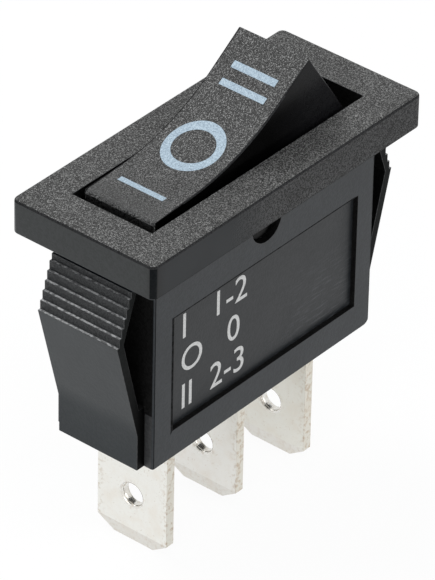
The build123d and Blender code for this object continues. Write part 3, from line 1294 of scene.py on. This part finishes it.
        def on_panel_rim(at: Vector, way: Vector) -> bool:
            """Picks the broken edges of the panel's recess.

            Args:
                at: The face's centre.
                way: Its normal.

            Returns:
                Whether it is picked.
            """
            on_face = -NEAR < at.y + self.side_y < self.panel_depth + NEAR
            corners = (self.panel_low, self.panel_high)
            off = min(min(abs(at.x - x), abs(at.z - z)) for x, z in corners)
            return on_face and self._in_panel(at, reach) and off < reach and way.y > -UNBROKEN

        shell.coat(
            (SHADED, on_panel_rim),
            (
                SHADED,
                lambda at, way: abs(at.z - self.slot_z) < reach
                and abs(at.x) > self.end_x - NEAR,
            ),
            (
                SHADED,
                lambda at, way: at.z < BELOW
                and abs(abs(at.x) - self.end_x) < reach
                and abs(abs(at.y) - self.arm_width / 2) < reach
                and max(abs(way.x), abs(way.y)) < UNBROKEN,
            ),
            (
                SHADED,
                lambda at, way: abs(at.z) < reach
                and abs(at.y) > lip - reach
                and leans_under(way),
            ),
        )


# ---------------------------------------------------------------- rocker


@dataclass
class Rocker:
    """The dished rocker, shaped level about its pivot and then tipped."""

    pivot_depth: float = 1.75
    throw_angle: float = 18.3
    width: float = 6.3
    corner: Pair = (8.6195, 7.8457)
    dish_depth: float = 1.70
    dish_end_slope: float = 15.6
    end_lean: float = 16.0
    skirt_radius: float = 11.1
    skirt_drop: float = 1.75
    wall: float = 1.0
    rim_radius: float = 0.11
    lip_radius: float = 0.3
    upright_radius: float = 0.12
    edge_break: float = 0.04
    # height of the painted light band at the top of the end face under I
    front_band: float = 0.9
    # width of the painted shade line along the rocker's far rim
    far_line: float = 0.12
    post_radius: float = 1.9
    post_bore_radius: float = 1.25
    post_length: float = 5.209
    pin_radius: float = 1.55
    pin_reach: float = 0.85
    pin_chamfer: float = 0.15
    columns: int = 36

    def tilt(self) -> Matrix:
        """The matrix, in millimetres, that tips a level piece into place."""
        turned = Matrix.Rotation(-math.radians(self.throw_angle), 4, "Y")
        return Matrix.Translation((0, 0, -self.pivot_depth)) @ turned

    def top_z(self, x: float) -> float:
        """Finds the height of the dished top above the pivot.

        Args:
            x: The distance along the rocker.

        Returns:
            The height.
        """
        slope = math.radians(self.dish_end_slope)
        corner_x, corner_z = self.corner
        radius = (corner_x * math.tan(slope) - self.dish_depth) / (1 / math.cos(slope) - 1)
        run_x = radius * math.sin(slope)
        if abs(x) < run_x:
            return corner_z - self.dish_depth + radius - math.sqrt(radius**2 - x**2)
        return corner_z - (corner_x - abs(x)) * math.tan(slope)

    def _solid(self, name: str, shrink: float) -> Piece:
        """The rocker's outer form, or the same form drawn in by a wall.

        Args:
            name: The piece's name.
            shrink: How far each side and the top are drawn in.

        Returns:
            The form.
        """
        reach = self.skirt_radius + 0.2 - shrink
        y = self.width / 2 - shrink
        low = -self.skirt_drop - (2 * shrink)
        high = self.corner[1] + 1
        form = Piece.block(name, (-reach, -y, low), (reach, y, high))
        places = [reach * (2 * k / self.columns - 1) for k in range(self.columns + 1)]
        for x in places[1:-1]:
            form.slice((x, 0, 0), (1, 0, 0))
        for x in places:
            form.move(
                lambda at, way: at.z > 0 and abs(at.x - x) < NEAR,
                (0, 0, self.top_z(x) - shrink - high),
            )
        far, radius = self.width, self.skirt_radius - shrink
        skirt = Piece.rod("skirt", (0, -far, 0), (0, far, 0), radius, 128)
        lift = Piece.block("lift", (-2 * reach, -far, 0), (2 * reach, far, high + 1))
        skirt.merge(Merge.UNION, lift)
        form.merge(Merge.COMMON, skirt)
        lean = math.radians(self.end_lean)
        for side in (-1, 1):
            away = Vector((side * math.cos(lean), 0, math.sin(lean)))
            corner = Vector((side * self.corner[0], 0, self.corner[1])) - away * shrink
            form.slice(corner, away, trim=True)
        return form

    def build(self) -> None:
        """Builds the rocker."""
        cap = self._solid("rocker_cap", 0)
        cap.clean()
        self._round(cap)
        cap.merge(Merge.CUT, self._solid("hollow", self.wall))
        ceiling, low = self.top_z(0) - self.wall, -self.post_length
        post = Piece.rod("post", (0, 0, low), (0, 0, ceiling + self.wall / 2), self.post_radius)
        bore = Piece.rod("bore", (0, 0, low - 1), (0, 0, ceiling), self.post_bore_radius)
        cap.merge(Merge.UNION, post)
        cap.merge(Merge.CUT, bore)
        inner, outer = self.width / 2 - self.wall / 2, self.width / 2 + self.pin_reach
        pin = Piece.rod("pin", (0, inner, 0), (0, outer, 0), self.pin_radius, 48)
        pin.bevel(lambda at, way: abs(at.y - outer) < TIGHT, self.pin_chamfer, 1)
        cap.merge(Merge.UNION, pin, pin.copy("pin_over_panel", HALF_TURN))
        cap.clean()
        self._dress(cap)
        cap.turn(self.tilt())
        cap.fit("rocker", "rocker_plastic", "rocker")

    def _round(self, cap: Piece) -> None:
        """Rounds the uprights, the lip under I and the rim of the dish.

        Args:
            cap: The rocker's outer form.
        """
        half = self.width / 2
        cap.bevel(
            lambda at, way: at.z > 0
            and abs(way.z) > 0.8
            and abs(at.x) > self.corner[0] - 0.5,
            self.upright_radius,
            4,
        )
        cap.bevel(
            lambda at, way: at.z > 0 and abs(way.y) > FACING and at.x < 1 - self.corner[0],
            self.lip_radius,
            4,
        )
        cap.bevel(
            lambda at, way: at.z > 0
            and abs(way.y) < 0.7
            and abs(abs(at.y) - half) < TIGHT
            and at.z > self.top_z(at.x) - 0.02,
            self.rim_radius,
            2,
        )

    def _dress(self, cap: Piece) -> None:
        """Paints the top, the lip and the walls, with painted light and shade, and breaks the
        edges.

        Args:
            cap: The rocker, before it is tipped.
        """
        half, end = self.width / 2, self.corner[0]
        band = self.corner[1] - self.front_band
        cap.slice((0, 0, band), (0, 0, 1))
        cap.slice((0, half - self.far_line, 0), (0, 1, 0))
        # walls glossy with painted shade; broken edges lighter, partly wear and partly painted
        # highlight
        cap.paint(GLOSS, EDGE)
        cap.coat(
            (
                GRAINED_CAP,
                lambda at, way: at.z > self.top_z(at.x) - 0.35
                and way.z > 0.35
                and abs(way.y) < 0.8,
            ),
            # painted light on the band at the top of the end face
            (UNDER_LIP, lambda at, way: at.x < 0.6 - end and way.x < -FACING and at.z > band),
            # painted highlight specks on the lower rounding of the lip
            (LIP, lambda at, way: at.x < 0.4 - end and -0.93 < way.x < -0.45 and at.z > band),
        )
        cap.soften(self.edge_break, 2, 38)
        cap.coat(
            # painted shade on the rocker's rounded side rims
            (
                RIM_SHADE,
                lambda at, way: at.z > self.top_z(at.x) - 0.2
                and abs(at.y) > half - 2 * self.rim_radius
                and 0.1 < abs(way.y) < FLAT,
            ),
            # painted shade line along the far rim of the dish
            (
                SHADE_LINE,
                lambda at, way: at.z > self.top_z(at.x) - 0.2
                and at.y > half - self.far_line
                and way.z > 0.1
                and abs(at.x) < end - 1,
            ),
        )


@dataclass
class Spring:
    """The coil spring over the plunger, which shortens as the plunger rises; built at one length.
    """

    rocker: Rocker
    wire_radius: float = 0.16
    coil_radius: float = 0.94
    coils: int = 7
    low: float = -2.829
    high: float = 4.966
    travel: float = 1.2
    steps: int = 24
    sides: int = 12

    def build(self) -> None:
        """Builds the spring."""
        start, turn = (self.coil_radius, 0, self.low), (math.pi / 2, 0, 0)
        coil = Piece.ring("coil_spring", self.sides, self.wire_radius, start, turn)
        coil.modify(
            "SCREW",
            axis="Z",
            angle=self.coils * math.tau,
            screw_offset=(self.high - self.low) * MM,
            steps=self.coils * self.steps,
            render_steps=self.coils * self.steps,
        )
        with coil.picked(Element.EDGES):
            bpy.ops.mesh.fill_holes(sides=0)
            bpy.ops.mesh.select_all(action="SELECT")
            bpy.ops.mesh.normals_make_consistent(inside=False)
        coil.paint(SPRING_STEEL)
        tilt = self.rocker.tilt()
        coil.turn(tilt)
        coil.fit("rocker", "spring_steel", "plunger_spring")
        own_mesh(coil.obj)


@dataclass
class PrintedMarks:
    """The marks I, O and II, pad-printed across the dished top."""

    rocker: Rocker
    thickness: float = 0.012
    bars: tuple[tuple[str, float, float, float, float], ...] = (
        ("mark_ii_outer", 5.80, 6.36, -2.04, 1.88),
        ("mark_ii_inner", 4.38, 4.90, -2.08, 1.92),
        ("mark_i", -6.40, -5.95, -1.88, 2.16),
    )
    bar_columns: int = 4
    bar_rows: int = 12
    ring_centre: Pair = (-0.80, 0.13)
    ring_outer: Pair = (2.44, 2.24)
    ring_inner: Pair = (1.60, 1.62)
    ring_sides: int = 96

    def build(self) -> None:
        """Builds the marks, the bars from one sheet of a millimetre each way."""
        sheet = Piece.added(
            "sheet",
            bpy.ops.mesh.primitive_grid_add,
            x_subdivisions=self.bar_columns,
            y_subdivisions=self.bar_rows,
            size=MM,
        )
        for name, x0, x1, y0, y1 in self.bars:
            middle = Matrix.Translation(((x0 + x1) / 2, (y0 + y1) / 2, 0))
            self._lay(sheet.copy(name, middle @ Matrix.Diagonal((x1 - x0, y1 - y0, 1, 1))))
        sheet.remove()
        self._lay(self._ring())

    def _ring(self) -> Piece:
        """The O: a flat ring, a little wider than it is long.

        Returns:
            The ring.
        """
        centre, outer = (*self.ring_centre, 0), self.ring_outer
        inner = (self.ring_inner[0] / outer[0], self.ring_inner[1] / outer[1], 1)
        middle = Vector(centre) * MM
        ring = Piece.ring("mark_o", self.ring_sides, 1.0, centre, (0, 0, 0))
        with ring.picked(Element.EDGES):
            bpy.ops.transform.resize(value=(*outer, 1), center_override=middle)
            bpy.ops.mesh.extrude_edges_move(TRANSFORM_OT_translate={"value": (0, 0, 0)})
            bpy.ops.transform.resize(value=inner, center_override=middle)
        return ring

    def _lay(self, mark: Piece) -> None:
        """Lays a flat mark on the dish and gives it its thickness.

        Args:
            mark: The mark, flat at the pivot's height.
        """
        for corner in mark.obj.data.vertices:
            corner.co.z = self.rocker.top_z(corner.co.x / MM) * MM
        with mark.picked(Element.FACES):
            bpy.ops.mesh.normals_make_consistent(inside=False)
        if mark.obj.data.polygons[0].normal.z < 0:
            mark.obj.data.flip_normals()
        mark.modify("SOLIDIFY", thickness=2 * self.thickness * MM, offset=0.0)
        mark.paint(MARK_INK)
        mark.turn(self.rocker.tilt())
        mark.fit("rocker")


@dataclass
class ContactTable:
    """Which numbered terminals each position joins, printed in the recessed panel."""

    rows: tuple[str, ...] = ("I   1-2", "O   0", "II  2-3")
    size: float = 3.0
    left: float = -8.7
    first_row: float = -7.3
    pitch: float = 3.0
    face_y: float = -4.02
    thickness: float = 0.012

    def build(self) -> None:
        """Builds the three rows."""
        for number, text in enumerate(self.rows):
            place = Vector((self.left, self.face_y, self.first_row - number * self.pitch)) * MM
            deselect_all()
            bpy.ops.object.text_add()
            row = bpy.context.object
            row.data.body = text
            row.data.size = self.size * MM
            row.data.extrude = self.thickness * MM
            row.data.resolution_u = 6
            bpy.ops.object.convert(target="MESH")
            row = bpy.context.object
            row.rotation_euler = (math.pi / 2, 0, 0)
            row.location = place
            piece = Piece(row, f"panel_row_{number + 1}")
            piece.paint(PANEL_INK)
            piece.fit("housing")


# ---------------------------------------------------------------- terminals


@dataclass
class BladeTerminal:
    """A stamped terminal: a pierced blade below the body, bent over into a shelf inside."""

    node: str
    blade_x: float
    tip_z: float
    top_z: float
    shelf_end: float
    tin: Colour
    ear_gap: float = 0.0
    thickness: float = 0.8
    tab_width: float = 6.4
    strip_width: float = 7.0
    floor_z: float = -15.3
    corner_cut: float = 1.4
    corner_rise: float = 1.0
    bevel_height: float = 1.1
    bevel_depth: float = 0.2
    arris: float = 0.07
    hole_radius: float = 0.9
    hole_break: float = 0.2
    hole_height: float = 4.1
    bend_radius: float = 0.3
    ear_half: float = 1.2
    ear_thickness: float = 0.6
    ear_rise: float = 1.0
    ear_sunk: float = 0.1
    notch_z: float = -10.7588
    notch_radius: float = 0.35

    @property
    def hole_z(self) -> float:
        """The height of the hole's middle."""
        return self.tip_z + self.hole_height

    def shape(self) -> Piece:
        """Shapes the terminal.

        Returns:
            The terminal, bare.
        """
        half, y = self.thickness / 2, self.tab_width / 2
        x, z = self.blade_x, self.hole_z
        blade = Piece.block(
            f"{self.node}_blade", (x - half, -y, self.tip_z), (x + half, y, self.floor_z)
        )
        for side in (-1, 1):
            blade.slice(
                (x + side * half, 0, self.tip_z + self.bevel_height),
                (side * self.bevel_height, 0, -self.bevel_depth),
                trim=True,
            )
            blade.slice(
                (x, side * y, self.tip_z + self.corner_rise),
                (0, side * self.corner_rise, -self.corner_cut),
                trim=True,
            )
        self._bend_over(blade)
        blade.clean()
        blade.merge(Merge.CUT, Piece.rod("hole", (x - 2, 0, z), (x + 2, 0, z), self.hole_radius))
        if self.ear_gap:
            self._add_ears(blade)
        blade.clean()
        blade.bevel(
            lambda at, way: abs(math.hypot(at.y, at.z - z) - self.hole_radius) < 0.02,
            self.hole_break,
            3,
        )
        return blade

    def finish(self, blade: Piece) -> None:
        """Gives the rolled faces, sheared edges, arrises and hole their finishes, and fits it.

        Args:
            blade: The terminal, bare and in its place.
        """
        arris_stain, third = (0.36, 0.26, 0.18), self.tab_width / 6
        pierced = self.hole_radius + self.hole_break
        tapered = self.tip_z + self.bevel_height
        arris = {"colour": (0.64, 0.60, 0.53), "stain": arris_stain, "all_over": 0.7}
        arris |= {"edge_stain": 0.3, "roughness": 0.45}
        sheared = {"colour": (0.72, 0.70, 0.63), "all_over": 0.35}
        sheared |= {"roughness": 0.42, "grain_depth": 0.05}
        blade.paint(self._plate("", colour=self.tin), self._plate("arris_", **arris))
        blade.coat(
            (
                self._plate("sheared_", **sheared),
                lambda at, way: abs(way.y) > 0.5 and abs(at.y) > third,
            ),
            (
                self._plate("tip_", colour=(0.75, 0.735, 0.69), all_over=0.25),
                lambda at, way: way.z < -0.05 and at.z < tapered,
            ),
            (
                self._plate("hole_", all_over=0.0, edge_stain=0.0, roughness=0.16),
                lambda at, way: math.hypot(at.y, at.z - self.hole_z) < pierced
                and abs(way.x) < FLAT,
            ),
        )
        blade.soften(self.arris, 3)
        blade.fit("housing", "terminal_tin", self.node)

    def _plate(self, part: str, **look: Any) -> TinPlate:
        """The tin finish of one kind of surface, and where it differs from plain tin."""
        return TinPlate(f"tin_{part}{self.node}", self.hole_z, self.tab_width / 2, **look)

    def _bend_over(self, blade: Piece) -> None:
        """Widens the strip above the floor, bends it over and runs the shelf out.

        Args:
            blade: The terminal's upright part.
        """

        def top(at: Vector, way: Vector) -> bool:
            """Picks the strip's upper end."""
            return way.z > FACING

        shoulder = 0.001
        wide = self.strip_width / self.tab_width
        turn_x = self.blade_x + self.thickness / 2 + self.bend_radius
        turn_z = self.top_z - self.thickness - self.bend_radius
        blade.extrude(top, (0, 0, shoulder))
        with blade.picked(Element.FACES, top):
            middle = (self.blade_x * MM, 0, self.floor_z * MM)
            bpy.ops.transform.resize(value=(1, wide, 1), center_override=middle)
        blade.extrude(top, (0, 0, turn_z - self.floor_z))
        with blade.picked(Element.FACES, top):
            bpy.ops.mesh.spin(
                steps=6,
                angle=-math.pi / 2,
                center=(turn_x * MM, 0, turn_z * MM),
                axis=(0, 1, 0),
                use_auto_merge=False,
            )
        blade.extrude(
            lambda at, way: way.x > FACING and at.z > turn_z and at.x > turn_x - NEAR,
            (self.shelf_end - turn_x, 0, 0),
        )

    def _add_ears(self, blade: Piece) -> None:
        """Adds the two notched ears that cradle the contact bridge.

        Args:
            blade: The terminal, bent over.
        """
        z, radius, reach = self.notch_z, self.notch_radius, 4.0
        low = (-self.ear_half, self.ear_gap, self.top_z - self.ear_sunk)
        high = (self.ear_half, self.ear_gap + self.ear_thickness, z + self.ear_rise)
        ear = Piece.block("ear", low, high)
        notch = Piece.rod("notch", (0, -reach, z), (0, reach, z), radius, 32)
        gate = Piece.block("gate", (-radius, -reach, z), (radius, reach, z + 2 * self.ear_rise))
        ear.merge(Merge.CUT, notch, gate)
        blade.merge(Merge.UNION, ear, ear.copy("ear_over_panel", HALF_TURN))


@dataclass
class Terminals:
    """The three terminals, all facing the same way."""

    blade_places: Point = (-8.55, -0.9, 6.75)
    shelf_ends: Point = (-5.95, 1.3, 9.35)
    outer_tip: float = -26.6
    outer_shelf: float = -12.9
    common_tip: float = -26.1
    common_shelf: float = -11.509
    ear_gap: float = 2.45
    tins: tuple[Colour, Colour, Colour] = (
        (0.86, 0.855, 0.81),
        (0.82, 0.81, 0.77),
        (0.77, 0.76, 0.70),
    )

    def build(self) -> None:
        """Builds the terminals, the two outer ones from one shape."""
        names = ("terminal_1", "terminal_common", "terminal_2")
        tips = (self.outer_tip, self.common_tip, self.outer_tip)
        shelves = (self.outer_shelf, self.common_shelf, self.outer_shelf)
        gaps = (0.0, self.ear_gap, 0.0)
        sizes = zip(names, self.blade_places, tips, shelves, self.shelf_ends, self.tins, gaps)
        first, common, last = (BladeTerminal(*size) for size in sizes)
        blade = first.shape()
        along = Matrix.Translation((last.blade_x - first.blade_x, 0, 0))
        twin = blade.copy("terminal_2_blade", along)
        first.finish(blade)
        last.finish(twin)
        common.finish(common.shape())


@dataclass
class Mechanism:
    """The pieces inside, which keep their CAD meshes and get their finishes."""

    nodes: dict[str, bpy.types.Object]

    def dress(self) -> None:
        """Gives each hidden piece its finish."""
        finishes = {"plunger": ACETAL, "contact_bridge": BRASS}
        for kind in ("moving", "fixed"):
            finishes |= {f"{kind}_contact_{number}": SILVER for number in (1, 2)}
        for node, finish in finishes.items():
            materials = self.nodes[node].data.materials
            materials.clear()
            materials.append(finish.material())
            LOG.info("%s: finished as %s", node, finish.name)


# ---------------------------------------------------------------- studio


@dataclass
class Studio:
    """Pale floor, soft lights and the camera.

    The lamps' places, sides and powers, and the floor's side, are in metres and watts.
    """

    floor_z: float
    floor_side: float = 8.0
    azimuth: float = -50.66
    elevation: float = 34.91
    roll: float = 1.22
    distance: float = 405.95
    aim_z: float = 2.8
    shift_right: float = -0.159
    shift_up: float = -10.085
    lens: float = 364.2
    sensor: float = 36.0
    sky: Colour = (0.95, 0.97, 1.0)
    sky_level: float = 0.5
    lamp_side: float = 0.30
    lamps: tuple[tuple[str, Point, float], ...] = (
        ("key", (-0.15, -0.15, 0.55), 0.6),
        ("left", (-0.45, -0.10, 0.15), 0.55),
        ("front", (0.10, -0.45, 0.15), 0.55),
        ("back", (0.0, 0.35, 0.45), 1.05),
    )

    def build(self) -> None:
        """Sets up everything that isn't the object."""
        self._floor()
        self._world()
        for name, place, power in self.lamps:
            self._lamp(name, place, power)
        self._camera()
        bpy.context.scene.view_settings.view_transform = "Standard"

    def _floor(self) -> None:
        """Adds the floor that the terminals stand on."""
        floor = Piece.added(
            "floor",
            bpy.ops.mesh.primitive_plane_add,
            size=self.floor_side,
            location=(0, 0, self.floor_z * MM),
        )
        floor.paint(PAPER)

    def _world(self) -> None:
        """Makes the surroundings evenly pale, and white to the camera."""
        graph = Graph("studio", for_world=True)
        soft, white = (
            graph.node("ShaderNodeBackground", sockets={"Color": colour, "Strength": level})
            for colour, level in ((self.sky, self.sky_level), (grey(1.0), 1.0))
        )
        graph.close(graph.node("ShaderNodeMixShader", sockets={0: graph.seen(), 1: soft, 2: white}))
        bpy.context.scene.world = graph.material

    def _lamp(self, name: str, place: Point, power: float) -> None:
        """Adds a square soft light that faces the object.

        Args:
            name: Its name.
            place: Where it hangs, in metres.
            power: Its power in watts.
        """
        deselect_all()
        bpy.ops.object.light_add(type="AREA", location=place)
        lamp = bpy.context.object
        lamp.name = name
        lamp.data.size = self.lamp_side
        lamp.data.energy = power
        lamp.rotation_euler = (-Vector(place)).to_track_quat("-Z", "Y").to_euler()

    def _camera(self) -> None:
        """Adds the camera."""
        turn, rise, roll = (math.radians(a) for a in (self.azimuth, self.elevation, self.roll))
        back = Vector(
            (math.sin(turn) * math.cos(rise), -math.cos(turn) * math.cos(rise), math.sin(rise))
        )
        level = Vector((math.cos(turn), math.sin(turn), 0))
        upright = back.cross(level)
        right = level * math.cos(roll) + upright * math.sin(roll)
        up = upright * math.cos(roll) - level * math.sin(roll)
        place = Vector((0, 0, self.aim_z)) + back * self.distance
        place += right * self.shift_right + up * self.shift_up
        deselect_all()
        bpy.ops.object.camera_add()
        camera = bpy.context.object
        camera.name = "camera"
        columns = Matrix((right, up, back)).transposed().to_4x4()
        camera.matrix_world = Matrix.Translation(place * MM) @ columns
        camera.data.sensor_fit = "VERTICAL"
        camera.data.sensor_height = self.sensor
        camera.data.lens = self.lens
        camera.data.clip_start = 0.01
        camera.data.clip_end = 20
        bpy.context.scene.camera = camera


def main() -> None:
    """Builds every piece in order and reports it."""
    logging.basicConfig(level=logging.INFO, format="%(name)s: %(message)s")
    Studio(floor_z=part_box("terminal_1")[0].z / MM).build()
    Housing().build()
    rocker = Rocker()
    rocker.build()
    Spring(rocker).build()
    PrintedMarks(rocker).build()
    ContactTable().build()
    Terminals().build()
    Mechanism(frame["nodes"]).dress()


if __name__ == "__main__":
    main()
